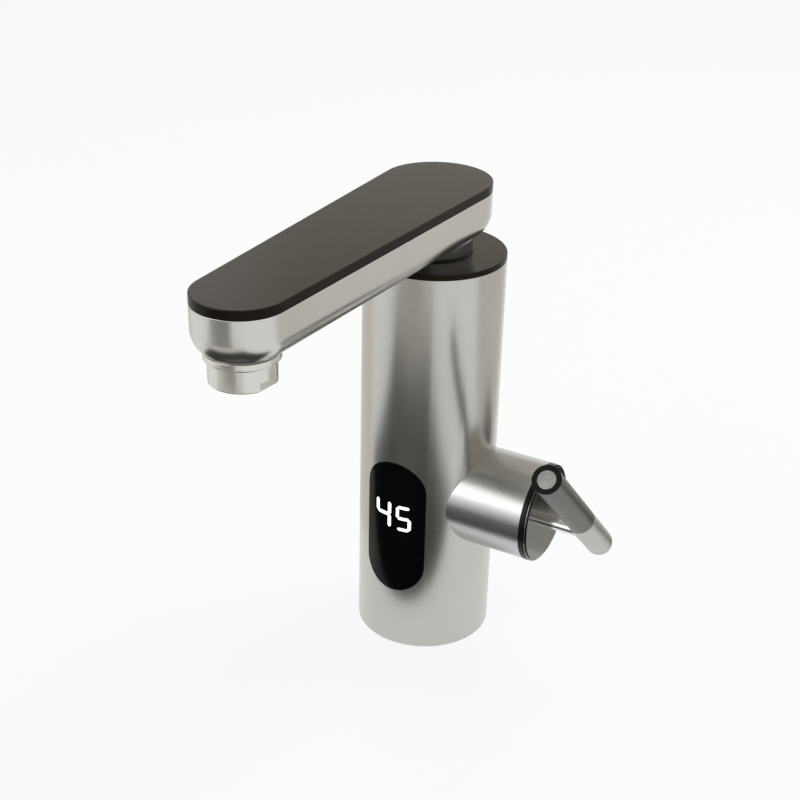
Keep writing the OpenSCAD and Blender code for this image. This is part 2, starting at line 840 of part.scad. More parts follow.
module aerator_housing() {
    color([0.8, 0.8, 0.81]) translate([0, -reach, 0]) difference() {
        union() {
            rod(nut_r, nut_z, flange_z - flare_h);
            translate([0, 0, flange_z - flare_h]) cylinder(h = flare_h, r1 = nut_r, r2 = flange_r);
        }
        for (side = [0, 180])
            rotate([0, 0, flat_turn + side]) translate([flat_x, -nut_r, nut_z - 1])
                cube([nut_r, 2 * nut_r, flat_h + 1]);
        translate([0, 0, nut_z + 0.8]) cylinder(h = 20, r = thread_r + snug);
        translate([0, 0, nut_z - 1]) cylinder(h = 20, r = thread_r - 1.2);
    }
}

module aerator_washer() {
    color([0.08, 0.08, 0.08]) translate([0, -reach, 0])
        ring(thread_r - snug, outlet_bore, nut_z + insert_top, nut_z + nozzle_low);
}

module aerator_insert() {
    color([0.85, 0.85, 0.85]) translate([0, -reach, 0]) difference() {
        rod(thread_r - snug, nut_z + 0.8, nut_z + insert_top);
        for (a = [0 : 60 : 300]) {
            rotate([0, 0, a]) translate([3.4, 0, nut_z]) cylinder(h = 8, r = 1.3);
            rotate([0, 0, a + 30]) translate([6.2, 0, nut_z]) cylinder(h = 8, r = 1.3);
        }
        translate([0, 0, nut_z]) cylinder(h = 8, r = 1.3);
    }
}

// Lever

module lever_disk() {
    color([0.72, 0.72, 0.71]) difference() {
        translate([0, 0, arm_z]) union() {
            rod_x(disk_r, disk_x, disk_x + disk_w);
            rod_x(face_r, disk_x, face_x);
            rod_x(arm_r - 7.6, disk_x - boss_len, disk_x + 0.2);
        }
        translate([0, 0, arm_z]) rod_x(spindle_r + snug, disk_x - boss_len - 1, spindle_end);
        at_lever() rod_x(stem_r + snug, stem_end - lever_x, 0);
        translate([0, 0, arm_z]) rotate([90 - lever_tilt, 0, 0])
            translate([grub_x, 0, 0]) cylinder(h = arm_r, r = grub_r + snug);
    }
}

module lever_stem() {
    color([0.85, 0.85, 0.86]) at_lever() rod_x(stem_r, stem_end - lever_x, stem_depth);
}

// Everything above the slanted lower end of the grip sleeve
module above_sleeve_end() {
    translate([0, 0, sleeve_low]) rotate([0, 0, sleeve_turn]) rotate([0, -sleeve_slant, 0])
        translate([-2 * lever_up, -2 * lever_up, 0]) cube([4 * lever_up, 4 * lever_up, 2 * lever_up]);
}

module lever_hub() {
    color([0.72, 0.72, 0.71]) at_lever() difference() {
        union() {
            translate([0, 0, -lever_down]) sphere(r = lever_r);
            difference() {
                rod(lever_r, -lever_down, 2 * sleeve_low);
                above_sleeve_end();
            }
            rod(lever_r - grip_wall - snug, stem_r + 2, 2 * sleeve_low);
        }
        rod_x(stem_r + snug, -4 * lever_r, stem_depth);
        translate([0, 0, -4 * lever_down]) cylinder(h = 4 * lever_down, r = grub_r + snug);
    }
}

module lever_grub_screws() {
    color([0.3, 0.3, 0.3]) {
        at_lever() difference() {
            rod(grub_r, -lever_down - 1.5, -stem_r);
            translate([0, 0, -lever_down - 2]) cylinder(h = 2, r = 0.8, $fn = 6);
        }
        translate([grub_x, 0, arm_z]) rotate([90 - lever_tilt, 0, 0]) difference() {
            rod(grub_r, spindle_r, spindle_r + 7);
            translate([0, 0, spindle_r + 5.5]) cylinder(h = 2, r = 0.8, $fn = 6);
        }
    }
}

module lever_grip() {
    color([0.55, 0.55, 0.54]) at_lever() intersection() {
        ring(lever_r, lever_r - grip_wall, stem_r + 2, lever_up - ring_t);
        above_sleeve_end();
    }
}

module grip_ring() {
    color([0.05, 0.05, 0.05]) at_lever() difference() {
        union() {
            rod(ring_r, lever_up - ring_t, lever_up);
            rod(lever_r - grip_wall - snug, lever_up - ring_t - plug_len, lever_up - ring_t / 2);
        }
        translate([0, 0, lever_up - disc_seat]) cylinder(h = 5, r = tip_disc_r + snug);
    }
}

module grip_end_disc() {
    color([0.8, 0.8, 0.8]) at_lever() rod(tip_disc_r, lever_up - disc_seat, lever_up - 0.2);
}

// Assembly

body_shell();
base_plate();
deck_gasket();
base_screws();
cable_gland();
inlet_fitting();
inlet_screen();
flow_switch_housing();
reed_sensor();
chassis();
valve_body();
cartridge_body();
cartridge_nut();
fixed_ceramic_disc();
arm_shell();
arm_ring();
heater_tank();
heater_lid();
lid_seal();
heating_element();
thermal_cutout();
temperature_probe();
control_board();
power_switch_block();
board_screws();
display_board();
digit_module();
window_lens();
lens_gasket();
riser_pipe();
top_cap();
neck_washer();
neck_collar();
neck_nut();
neck_o_rings();
neck_circlip();
spout_shell();
spout_top_panel();
swivel_boss();
swivel_bush();
spout_waterway();
nozzle_body();
nozzle_flange();
aerator_housing();
aerator_washer();
aerator_insert();
lever_disk();
lever_stem();
lever_hub();
lever_grub_screws();
lever_grip();
grip_ring();
grip_end_disc();
cartridge_spindle();
rotating_ceramic_disc();
flow_piston();
flow_spring();
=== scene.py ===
"""Dressed model of an instant-heating faucet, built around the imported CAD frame.

Units are metres. The origin is the centre of the column's underside, +Z is up,
the spout points along -Y and the valve arm along +X.
"""

import json
from math import asin, cos, pi, radians, sin, sqrt, tan

import bmesh
import bpy
from mathutils import Matrix, Vector


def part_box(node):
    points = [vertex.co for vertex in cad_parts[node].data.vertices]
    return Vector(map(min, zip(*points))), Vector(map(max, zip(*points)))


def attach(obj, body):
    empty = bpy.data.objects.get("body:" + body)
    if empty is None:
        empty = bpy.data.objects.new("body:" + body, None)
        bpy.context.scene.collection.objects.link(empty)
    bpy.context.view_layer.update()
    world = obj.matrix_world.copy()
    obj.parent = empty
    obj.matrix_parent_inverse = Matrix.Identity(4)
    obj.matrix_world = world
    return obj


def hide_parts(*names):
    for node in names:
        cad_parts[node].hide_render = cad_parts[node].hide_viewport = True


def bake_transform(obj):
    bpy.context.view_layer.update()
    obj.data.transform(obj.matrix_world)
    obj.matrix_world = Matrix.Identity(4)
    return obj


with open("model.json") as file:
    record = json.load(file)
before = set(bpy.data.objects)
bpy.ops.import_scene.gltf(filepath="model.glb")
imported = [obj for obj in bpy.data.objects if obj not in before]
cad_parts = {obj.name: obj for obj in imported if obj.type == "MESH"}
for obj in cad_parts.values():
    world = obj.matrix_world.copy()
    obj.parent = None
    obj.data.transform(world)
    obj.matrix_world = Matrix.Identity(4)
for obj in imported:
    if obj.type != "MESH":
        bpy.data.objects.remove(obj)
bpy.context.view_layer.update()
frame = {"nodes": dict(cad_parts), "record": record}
MM = 0.001


# Sizes, read from the frame where a node gives them

def top(node):
    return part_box(node)[1][2]


def bottom(node):
    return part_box(node)[0][2]


def half_width(node):
    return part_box(node)[1][0]


COLUMN_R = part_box("body_shell")[1][1]
COLUMN_TOP = top("body_shell")
CAP_TOP = top("top_cap")
WALL = 1.2 * MM

SPOUT_LOW = bottom("spout_shell")
SPOUT_FLOOR = SPOUT_LOW + 2.8 * MM
PANEL_LOW = top("spout_shell")
PANEL_TOP = top("spout_top_panel")
PANEL_EDGE = 0.4 * MM
FAR_R = half_width("spout_shell")
NEAR_R = 17.4 * MM
REACH = -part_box("spout_shell")[0][1] - NEAR_R
TUB_FILLET = 10.3 * MM
NECK_R = half_width("neck_collar")
NECK_ROOT_R = 11 * MM
NECK_HOLE_R = 12.05 * MM
WASHER_R = half_width("neck_washer")
NECK_GAP = 0.3 * MM
STUB_R = 10 * MM

ARM_Z = 71 * MM
ARM_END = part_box("arm_shell")[1][0]
ARM_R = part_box("arm_shell")[1][2] - ARM_Z
RING_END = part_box("arm_ring")[1][0]
DISK_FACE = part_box("lever_disk")[1][0]
DISK_STEP = DISK_FACE - 0.6 * MM
DISK_BACK = DISK_FACE - 1.2 * MM
DISK_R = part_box("lever_disk")[1][2] - ARM_Z
FACE_R = DISK_R - 0.9 * MM

LEVER_R = 5.8 * MM
LEVER_X = 81.4 * MM
LEVER_TILT = radians(44.3)
LEVER_UP = 79.3 * MM
LEVER_DOWN = 10.6 * MM
SLEEVE_LOW = 22 * MM
SLEEVE_SLANT = radians(20)
SLEEVE_TURN = radians(-36)
TIP_RING = 0.5 * MM
TIP_RING_R = LEVER_R + 0.1 * MM
STEM_OFF = 3.2 * MM
TIP_DISC_R = 3.8 * MM

WINDOW_R = half_width("window_lens")
WINDOW_FACE_R = 14.25 * MM
WINDOW_X = -0.45 * MM
WINDOW_LOW = 42.4 * MM
WINDOW_HIGH = 78.3 * MM
LENS_DEPTH = 3 * MM
LENS_FACE = COLUMN_R + 0.03 * MM

FLANGE_R = half_width("nozzle_flange")
FLANGE_LOW = SPOUT_LOW - 0.3 * MM
FLANGE_TOP = top("nozzle_flange")
NUT_R = FLANGE_R - 1.4 * MM
NUT_SHOULDER = FLANGE_LOW - 0.4 * MM
FLARE = 0.6 * MM
NUT_LOW = bottom("aerator_housing")
NUT_FLAT = NUT_R - 0.85 * MM
NUT_FLAT_TOP = NUT_LOW + 3.4 * MM
NUT_TURN = radians(-6)
THREAD_R = 9.5 * MM


# Mesh helpers

def new_object(name, verts, faces, smooth=True):
    mesh = bpy.data.meshes.new(name)
    mesh.from_pydata([tuple(v) for v in verts], [], faces)
    mesh.validate()
    mesh.update()
    for polygon in mesh.polygons:
        polygon.use_smooth = smooth
    obj = bpy.data.objects.new(name, mesh)
    bpy.context.scene.collection.objects.link(obj)
    return obj


def tidy_normals(obj, sharp=radians(32)):
    """Outward faces, crisp edges past an angle, and even shading on the flats."""
    mesh = bmesh.new()
    mesh.from_mesh(obj.data)
    bmesh.ops.recalc_face_normals(mesh, faces=mesh.faces)
    for edge in mesh.edges:
        if len(edge.link_faces) == 2:
            edge.smooth = edge.calc_face_angle() < sharp
    mesh.to_mesh(obj.data)
    mesh.free()
    weighted = obj.modifiers.new("weighted", "WEIGHTED_NORMAL")
    weighted.weight = 100
    weighted.keep_sharp = True
    return obj


def arc_points(centre, radius, start, end, steps):
    return [Vector((centre[0] + radius * cos(start + (end - start) * k / steps),
                    centre[1] + radius * sin(start + (end - start) * k / steps)))
            for k in range(steps + 1)]


def rounded(corners, steps=4):
    """Profile points from (r, z, fillet) corners; each fillet becomes an arc."""
    points = []
    for i, (x, y, fillet) in enumerate(corners):
        corner = Vector((x, y))
        if fillet <= 0 or i in (0, len(corners) - 1):
            points.append(corner)
            continue
        before = (Vector(corners[i - 1][:2]) - corner).normalized()
        after = (Vector(corners[i + 1][:2]) - corner).normalized()
        half = before.angle(after) / 2
        centre = corner + (before + after).normalized() * (fillet / sin(half))
        start = (corner + before * (fillet / tan(half)) - centre).normalized()
        end = (corner + after * (fillet / tan(half)) - centre).normalized()
        for k in range(steps + 1):
            points.append(centre + start.slerp(end, k / steps) * fillet)
    return points


ON_AXIS = 1e-7


def revolve(name, corners, place=Matrix.Identity(4), segments=128, reach=None):
    """Closed solid of revolution about local Z from (r, z, fillet) corners.

    reach(angle, r, z) may return another radius or height for each point.
    """
    profile = rounded(corners)
    closed = profile[0].x > ON_AXIS
    verts, rows = [], []
    for p in profile:
        if p.x < ON_AXIS:
            rows.append([len(verts)] * segments)
            verts.append(Vector((0, 0, p.y)))
            continue
        rows.append(list(range(len(verts), len(verts) + segments)))
        for j in range(segments):
            a = 2 * pi * j / segments
            r, z = reach(a, p.x, p.y) if reach else (p.x, p.y)
            verts.append(Vector((r * cos(a), r * sin(a), z)))
    faces = []
    for i in range(len(rows) if closed else len(rows) - 1):
        low, high = rows[i], rows[(i + 1) % len(rows)]
        for j in range(segments):
            k = (j + 1) % segments
            face = []
            for v in (low[j], low[k], high[k], high[j]):
                if v not in face:
                    face.append(v)
            if len(face) > 2:
                faces.append(face)
    return tidy_normals(new_object(name, [place @ v for v in verts], faces))


def cut_away(obj, *tools):
    """Boolean difference with each tool, which is then removed."""
    for tool in tools:
        step = obj.modifiers.new("cut", "BOOLEAN")
        step.operation = "DIFFERENCE"
        step.solver = "EXACT"
        step.object = tool
    depsgraph = bpy.context.evaluated_depsgraph_get()
    result = bpy.data.meshes.new_from_object(obj.evaluated_get(depsgraph))
    obj.modifiers.clear()
    obj.data = result
    for tool in tools:
        bpy.data.objects.remove(tool)
    for polygon in obj.data.polygons:
        polygon.use_smooth = True
    return tidy_normals(obj)


def rod(name, r, low, high, place=Matrix.Identity(4)):
    return revolve(name, [(0, low, 0), (r, low, 0), (r, high, 0), (0, high, 0)], place)


def ring_faces(rings, size, base=0):
    """Quads between neighbouring closed rings of equal size."""
    return [[base + i * size + j, base + i * size + (j + 1) % size,
             base + (i + 1) * size + (j + 1) % size, base + (i + 1) * size + j]
            for i in range(rings - 1) for j in range(size)]


# Local Z turned to +X, on the arm axis
ARM_FRAME = Matrix.Translation((0, 0, ARM_Z)) @ Matrix.Rotation(pi / 2, 4, "Y")

# Origin on the stem's axis, local Z along the lever towards its tip
LEVER_FRAME = (Matrix.Translation((LEVER_X, 0, ARM_Z))
               @ Matrix.Rotation(pi / 2 - LEVER_TILT, 4, "X")
               @ Matrix.Translation((0, -STEM_OFF, 0)))

NOZZLE_FRAME = Matrix.Translation((0, -REACH, 0))


# Spout outline: two arcs joined by their tangents

ARC_STEPS = 48
TAPER = asin((FAR_R - NEAR_R) / REACH)


def spout_ring(shrink, z):
    ring = []
    for j in range(ARC_STEPS + 1):
        a = -TAPER + (pi + 2 * TAPER) * j / ARC_STEPS
        ring.append(Vector(((FAR_R - shrink) * cos(a), (FAR_R - shrink) * sin(a), z)))
    for j in range(ARC_STEPS + 1):
        a = pi + TAPER + (pi - 2 * TAPER) * j / ARC_STEPS
        ring.append(Vector(((NEAR_R - shrink) * cos(a), (NEAR_R - shrink) * sin(a) - REACH, z)))
    return ring


def closing_faces(base):
    """Strips across the plan, from one long side to the other."""
    half = ARC_STEPS + 1
    faces = []
    for first in (base, base + half):
        for j in range(half // 2):
            a, b = first + j, first + half - 1 - j
            if b - a > 2:
                faces.append([a, a + 1, b - 1, b])
    faces.append([base, base + half - 1, base + half, base + 2 * half - 1])
    return faces


def spout_loft(name, levels):
    """Closed solid through (shrink, z) levels, with both ends closed."""
    rings = [spout_ring(s, z) for s, z in levels]
    size = len(rings[0])
    faces = ring_faces(len(rings), size) + closing_faces(0) + closing_faces((len(rings) - 1) * size)
    return tidy_normals(new_object(name, [v for ring in rings for v in ring], faces))


# Materials

# Values between which most of a noise texture lies
NOISE_SPAN = (0.3, 0.7)


def principled(name, color, metallic, roughness, **sockets):
    """Material whose constants sit on the shader's own sockets."""
    mat = bpy.data.materials.new(name)
    mat.use_nodes = True
    nodes, links = mat.node_tree.nodes, mat.node_tree.links
    shader = nodes["Principled BSDF"]
    shader.inputs["Base Color"].default_value = (*color, 1)
    shader.inputs["Metallic"].default_value = metallic
    shader.inputs["Roughness"].default_value = roughness
    for key, value in sockets.items():
        shader.inputs[key.replace("_", " ")].default_value = value
    return mat, nodes, links, shader


def noise(nodes, links, scale, stretch=(1, 1, 1), detail=3.0):
    """Noise in object coordinates; a stretched axis makes brushed lines."""
    coords = nodes.new("ShaderNodeTexCoord")
    mapping = nodes.new("ShaderNodeMapping")
    mapping.inputs["Scale"].default_value = stretch
    texture = nodes.new("ShaderNodeTexNoise")
    texture.inputs["Scale"].default_value = scale
    texture.inputs["Detail"].default_value = detail
    links.new(coords.outputs["Object"], mapping.inputs["Vector"])
    links.new(mapping.outputs["Vector"], texture.inputs["Vector"])
    return texture.outputs["Fac"]


def map_range(nodes, links, source, taken, given):
    """Output of a node that maps one (low, high) range of a source to another."""
    span = nodes.new("ShaderNodeMapRange")
    span.inputs["From Min"].default_value, span.inputs["From Max"].default_value = taken
    span.inputs["To Min"].default_value, span.inputs["To Max"].default_value = given
    links.new(source, span.inputs["Value"])
    return span.outputs["Result"]


def spread_roughness(nodes, links, shader, source, low, high):
    links.new(map_range(nodes, links, source, NOISE_SPAN, (low, high)), shader.inputs["Roughness"])


def bump(nodes, links, shader, source, strength, distance=0.02 * MM):
    node = nodes.new("ShaderNodeBump")
    node.inputs["Strength"].default_value = strength
    node.inputs["Distance"].default_value = distance
    links.new(source, node.inputs["Height"])
    links.new(node.outputs["Normal"], shader.inputs["Normal"])


def tint(nodes, links, socket, source, dark, light):
    ramp = nodes.new("ShaderNodeValToRGB")
    ramp.color_ramp.elements[0].position, ramp.color_ramp.elements[1].position = NOISE_SPAN
    ramp.color_ramp.elements[0].color = (*dark, 1)
    ramp.color_ramp.elements[1].color = (*light, 1)
    links.new(source, ramp.inputs["Fac"])
    links.new(ramp.outputs["Color"], socket)


def shade(color, factor):
    return tuple(min(1.0, c * factor) for c in color)


def metal(name, color, roughness, stretch=(1, 1, 1), scale=400, depth=0.02, spread=0.02, vary=0.02):
    """Bare metal with fine lines or grain and a faint unevenness of tone."""
    mat, nodes, links, shader = principled(name, color, 1.0, roughness)
    lines = noise(nodes, links, scale, stretch)
    spread_roughness(nodes, links, shader, lines, roughness - spread, roughness + spread)
    cloud = noise(nodes, links, 35)
    tint(nodes, links, shader.inputs["Base Color"], cloud, shade(color, 1 - vary), shade(color, 1 + vary))
    bump(nodes, links, shader, lines, depth)
    return mat


def plastic(name, color, roughness, scale=900, depth=0.1, vary=0.12, **sockets):
    """Moulded or coated surface with a fine grain."""
    mat, nodes, links, shader = principled(name, color, 0.0, roughness, **sockets)
    grain = noise(nodes, links, scale, detail=2.0)
    spread_roughness(nodes, links, shader, grain, roughness * 0.85, roughness * 1.15)
    cloud = noise(nodes, links, 60)
    tint(nodes, links, shader.inputs["Base Color"], cloud, shade(color, 1 - vary), shade(color, 1 + vary))
    bump(nodes, links, shader, grain, depth)
    return mat


COAT_SHEEN = (1.0, 0.90, 0.74)
COAT_EDGE_LEVEL = 0.09
COAT_TOP_LEVEL = 0.43
# Turn and span over which the sheen's tint darkens towards the left, a painted shade of the spout
PAINTED_SHADE_TURN = radians(-29)
PAINTED_SHADE_SPAN = (-24 * MM, 10 * MM)


def coated(name, top_z, painted_spout_shade):
    """Charcoal coat with a soft sheen on its flat top, at top_z, and a duller edge.

    The last argument darkens the sheen's tint towards the left, where the spout stands over the surface: a
    painted shade standing in for the spout's shadow and dark reflection there.
    """
    mat, nodes, links, shader = principled(name, (0.01, 0.008, 0.006), 0.0, 0.24)
    grain = noise(nodes, links, 1500, detail=2.0)
    spread_roughness(nodes, links, shader, grain, 0.22, 0.27)
    coords = nodes.new("ShaderNodeTexCoord")
    turned = nodes.new("ShaderNodeMapping")
    turned.inputs["Rotation"].default_value = (0, 0, PAINTED_SHADE_TURN)
    split = nodes.new("ShaderNodeSeparateXYZ")
    links.new(coords.outputs["Object"], turned.inputs["Vector"])
    links.new(turned.outputs["Vector"], split.inputs["Vector"])
    level = map_range(nodes, links, split.outputs["Z"], (top_z - 0.35 * MM, top_z - 0.1 * MM),
                      (COAT_EDGE_LEVEL, COAT_TOP_LEVEL))
    links.new(level, shader.inputs["Specular IOR Level"])
    # Painted shade: the sheen's tint is scaled down towards the left, standing in for the spout's shadow and
    # dark reflection
    side = map_range(nodes, links, split.outputs["X"], PAINTED_SHADE_SPAN, (0, 1))
    tint(nodes, links, shader.inputs["Specular Tint"], side, shade(COAT_SHEEN, painted_spout_shade), COAT_SHEEN)
    cloud = noise(nodes, links, 60)
    tint(nodes, links, shader.inputs["Base Color"], cloud, (0.007, 0.0055, 0.004), (0.010, 0.008, 0.006))
    return mat


def speckled(name, dark, light):
    """Fine sparkling grain of a sand-blasted disc."""
    mat, nodes, links, shader = principled(name, light, 0.6, 0.35)
    grain = noise(nodes, links, 2600, detail=1.0)
    tint(nodes, links, shader.inputs["Base Color"], grain, dark, light)
    bump(nodes, links, shader, grain, 0.4, 0.05 * MM)
    return mat


def lit(name, dim, bright):
    """Lit display segments: even white light with a slight grain."""
    mat, nodes, links, shader = principled(name, bright, 0.0, 0.4, Emission_Strength=1.0)
    tint(nodes, links, shader.inputs["Emission Color"], noise(nodes, links, 900, detail=1.0), dim, bright)
    return mat


STEEL = (0.54, 0.532, 0.505)
RINGS_ABOUT_Z = (1, 1, 40)
RINGS_ABOUT_X = (40, 1, 1)

MATERIALS = {
    "satin_steel": metal("satin_steel_round", STEEL, 0.25, RINGS_ABOUT_Z, 110, depth=0.006),
    "satin_arm": metal("satin_steel_arm", (0.555, 0.56, 0.565), 0.28, RINGS_ABOUT_X, 110, depth=0.003,
                       spread=0.008),
    "satin_spout": metal("satin_steel_spout", (0.61, 0.605, 0.585), 0.25, RINGS_ABOUT_Z, 110, depth=0.005),
    "satin_hub": metal("satin_steel_hub", (0.52, 0.515, 0.49), 0.42, scale=900, depth=0.01),
    "satin_sleeve": metal("satin_steel_sleeve", (0.145, 0.142, 0.132), 0.42, scale=900, depth=0.01),
    "polished_steel": metal("polished_steel_face", (0.165, 0.162, 0.150), 0.14, scale=300, depth=0.006),
    "plain_steel": metal("plain_steel", (0.55, 0.55, 0.55), 0.35, (1, 1, 10)),
    "bright_chrome": metal("bright_chrome", (0.78, 0.78, 0.79), 0.06, scale=200, depth=0.01, vary=0.01),
    # Darker copy of bright_chrome for the neck: painted shade of the spout and cap over it
    "chrome_neck_shaded": metal("chrome_neck_painted_shade", (0.40, 0.40, 0.41), 0.16, scale=200, depth=0.01, vary=0.01),
    "stem_chrome": metal("stem_chrome", (0.80, 0.80, 0.81), 0.16, scale=200, depth=0.01, vary=0.01),
    "satin_chrome": metal("satin_chrome", (0.66, 0.655, 0.62), 0.2, RINGS_ABOUT_Z, 150, depth=0.01),
    "cast_alloy": metal("cast_alloy", (0.45, 0.45, 0.46), 0.5, scale=500, depth=0.3),
    "brass_parts": metal("machined_brass", (0.62, 0.45, 0.18), 0.3, (1, 1, 20), vary=0.08),
    "copper_sheath": metal("element_sheath", (0.50, 0.26, 0.14), 0.4, scale=300, depth=0.2, vary=0.15),
    "speckled_silver": speckled("speckled_silver", (0.26, 0.265, 0.28), (0.56, 0.57, 0.585)),
    "dark_panel": coated("dark_panel_coat", PANEL_TOP, 1.0),
    # The cap's sheen tint drops to 0.45 at the left: painted shade of the spout over it
    "dark_cap": coated("dark_cap_coat", CAP_TOP, 0.45),
    "black_plastic": plastic("black_plastic", (0.004, 0.004, 0.004), 0.30, Specular_IOR_Level=0.22),
    "grey_plastic": plastic("grey_plastic", (0.10, 0.10, 0.11), 0.5),
    "white_plastic": plastic("white_plastic", (0.75, 0.75, 0.73), 0.45, vary=0.04),
    "gloss_black": plastic("gloss_lens", (0.0015, 0.0015, 0.0015), 0.16, scale=300, depth=0.003, vary=0.2,
                           Specular_IOR_Level=0.13),
    "black_rubber": plastic("black_rubber", (0.015, 0.015, 0.015), 0.6, scale=600, depth=0.3),
    "green_board": plastic("board_green", (0.02, 0.14, 0.06), 0.35, vary=0.25),
    "white_ceramic": plastic("lapped_ceramic", (0.82, 0.82, 0.80), 0.2, vary=0.03),
    "lit_segments": lit("lit_segments", (0.88, 0.90, 0.92), (1.0, 1.0, 1.0)),
}

# CAD nodes whose finish isn't the plain one of their slot
OWN_FINISH = {"arm_shell": "satin_arm", "lever_stem": "stem_chrome"}


def finish_cad_nodes():
    """Every CAD node that stays shown gets the finish of its slot."""
    slots = {part["node"]: part["material_slot"] for part in frame["record"]["subparts"]}
    for name, obj in frame["nodes"].items():
        obj.data.materials.clear()
        obj.data.materials.append(MATERIALS[OWN_FINISH.get(name, slots[name])])


def dress(obj, finish, body, slot, *nodes):
    """Finish and body of a new piece, and the CAD nodes that it stands for, which are hidden; slot is not
    used.
    """
    obj.data.materials.clear()
    obj.data.materials.append(MATERIALS[finish])
    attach(obj, body)
    if nodes:
        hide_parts(*nodes)
    return obj


# Column

def column_cap():
    inner = COLUMN_R - WALL - 0.1 * MM
    plug_low = COLUMN_TOP - 4 * MM
    cap = revolve("column_cap", [
        (NECK_ROOT_R, plug_low, 0), (inner, plug_low, 0.3 * MM), (inner, COLUMN_TOP, 0),
        (COLUMN_R - 0.15 * MM, COLUMN_TOP, 0), (COLUMN_R, COLUMN_TOP + 0.25 * MM, 0.1 * MM),
        (COLUMN_R, CAP_TOP, 0.5 * MM), (NECK_ROOT_R, CAP_TOP, 0)], segments=192)
    dress(cap, "dark_cap", "column", "dark_panel", "top_cap")


def neck():
    low = top("neck_washer")
    high = top("neck_collar")
    root = low - 12 * MM
    shoulder = SPOUT_LOW - NECK_GAP
    inside = 5 * MM
    # Its chrome is a darker copy of bright_chrome: painted shade under the spout
    collar = revolve("chrome_neck_shaded", [
        (inside, root, 0), (NECK_ROOT_R, root, 0.4 * MM), (NECK_ROOT_R, low, 0),
        (NECK_R, low, 0.5 * MM), (NECK_R, shoulder, 0.5 * MM), (STUB_R, shoulder, 0),
        (STUB_R, high, 0.4 * MM), (inside, high, 0)])
    dress(collar, "chrome_neck_shaded", "column", "bright_chrome", "neck_collar")
    hole = NECK_ROOT_R + 0.1 * MM
    washer = revolve("neck_ring", [
        (hole, CAP_TOP, 0), (WASHER_R, CAP_TOP, 0.2 * MM), (WASHER_R, low, 0.35 * MM), (hole, low, 0)])
    dress(washer, "black_rubber", "column", "black_rubber", "neck_washer")


LENS_STEPS = 40
LENS_EDGE = 0.12 * MM
LENS_EDGE_STEPS = 4
LENS_FACE_STEPS = 8
LENS_BACK_STEPS = 4
WELD = 1e-6


def lens_ring(half, radius):
    """Slot outline of a given half width, wrapped on a cylinder of a given radius."""
    ring = []
    for centre, start in ((WINDOW_HIGH, 0.0), (WINDOW_LOW, pi)):
        for j in range(LENS_STEPS + 1):
            a = start + pi * j / LENS_STEPS
            x = WINDOW_X + half * cos(a)
            ring.append(Vector((x, -sqrt(radius ** 2 - x ** 2), centre + half * sin(a))))
    return ring


def window_lens():
    """Curved black lens, a hair proud of the column, with a softened edge and a rear lip."""
    lip_r = COLUMN_R - WALL - 0.5 * MM
    inner_r = COLUMN_R - LENS_DEPTH
    rings = [lens_ring(WINDOW_R * k / LENS_BACK_STEPS, inner_r) for k in range(LENS_BACK_STEPS + 1)]
    rings += [lens_ring(WINDOW_R, lip_r), lens_ring(WINDOW_FACE_R, lip_r)]
    for k in range(LENS_EDGE_STEPS + 1):
        a = pi / 2 * k / LENS_EDGE_STEPS
        half = WINDOW_FACE_R - LENS_EDGE * (1 - cos(a))
        rings.append(lens_ring(half, LENS_FACE - LENS_EDGE * (1 - sin(a))))
    for k in range(1, LENS_FACE_STEPS + 1):
        rings.append(lens_ring((WINDOW_FACE_R - LENS_EDGE) * (1 - k / LENS_FACE_STEPS), LENS_FACE))
    verts = [v for ring in rings for v in ring]
    faces = ring_faces(len(rings), len(rings[0]))
    lens = new_object("lens_cover", verts, faces)
    mesh = bmesh.new()
    mesh.from_mesh(lens.data)
    bmesh.ops.remove_doubles(mesh, verts=mesh.verts, dist=WELD)
    bmesh.ops.dissolve_degenerate(mesh, edges=mesh.edges, dist=WELD)
    mesh.to_mesh(lens.data)
    mesh.free()
    tidy_normals(lens)
    dress(lens, "gloss_black", "column", "gloss_black", "window_lens")


# Lit digits: seven-segment strokes on the lens

DIGIT_H = 13.3 * MM
DIGIT_W = 7.5 * MM
DIGIT_PITCH = 9.9 * MM
DIGIT_Z = 66.3 * MM
DIGIT_X = -0.42 * MM
DIGIT_SCALES = (1.07, 0.93)
STROKE = 1.55 * MM
STROKE_GAP = 0.12 * MM
STROKE_STEPS = 6
DIGIT_STEP = 0.6 * MM
SEGMENTS = {"4": "bcfg", "5": "acdfg"}


def segment_line(letter):
    """Ends of a segment's centre line in a digit centred on the origin."""
    w = (DIGIT_W - STROKE) / 2
    h = (DIGIT_H - STROKE) / 2
    corner = {"tl": (-w, h), "tr": (w, h), "ml": (-w, 0), "mr": (w, 0), "bl": (-w, -h), "br": (w, -h)}
    ends = {"a": ("tl", "tr"), "b": ("mr", "tr"), "c": ("br", "mr"), "d": ("bl", "br"),
            "f": ("ml", "tl"), "g": ("ml", "mr")}[letter]
    return Vector(corner[ends[0]]), Vector(corner[ends[1]])


def stroke_rows(a, b):
    """Pairs of edge points along a bar from a to b with bevelled ends."""
    along = (b - a).normalized()
    a, b = a + along * STROKE_GAP, b - along * STROKE_GAP
    side = Vector((-along.y, along.x))
    half = STROKE / 2
    bevel, blunt = 0.8 * half, 0.3 * half
    shares = [k / STROKE_STEPS for k in range(STROKE_STEPS + 1)]
    rows = [(a, blunt)] + [(a.lerp(b, t) + along * bevel * (1 - 2 * t), half) for t in shares] + [(b, blunt)]
    return [(middle + side * w, middle - side * w) for middle, w in rows]


def wrap(point, radius):
    """Flat display point to the column's front."""
    x = point[0]
    return Vector((x, -sqrt(radius ** 2 - x ** 2), point[1]))


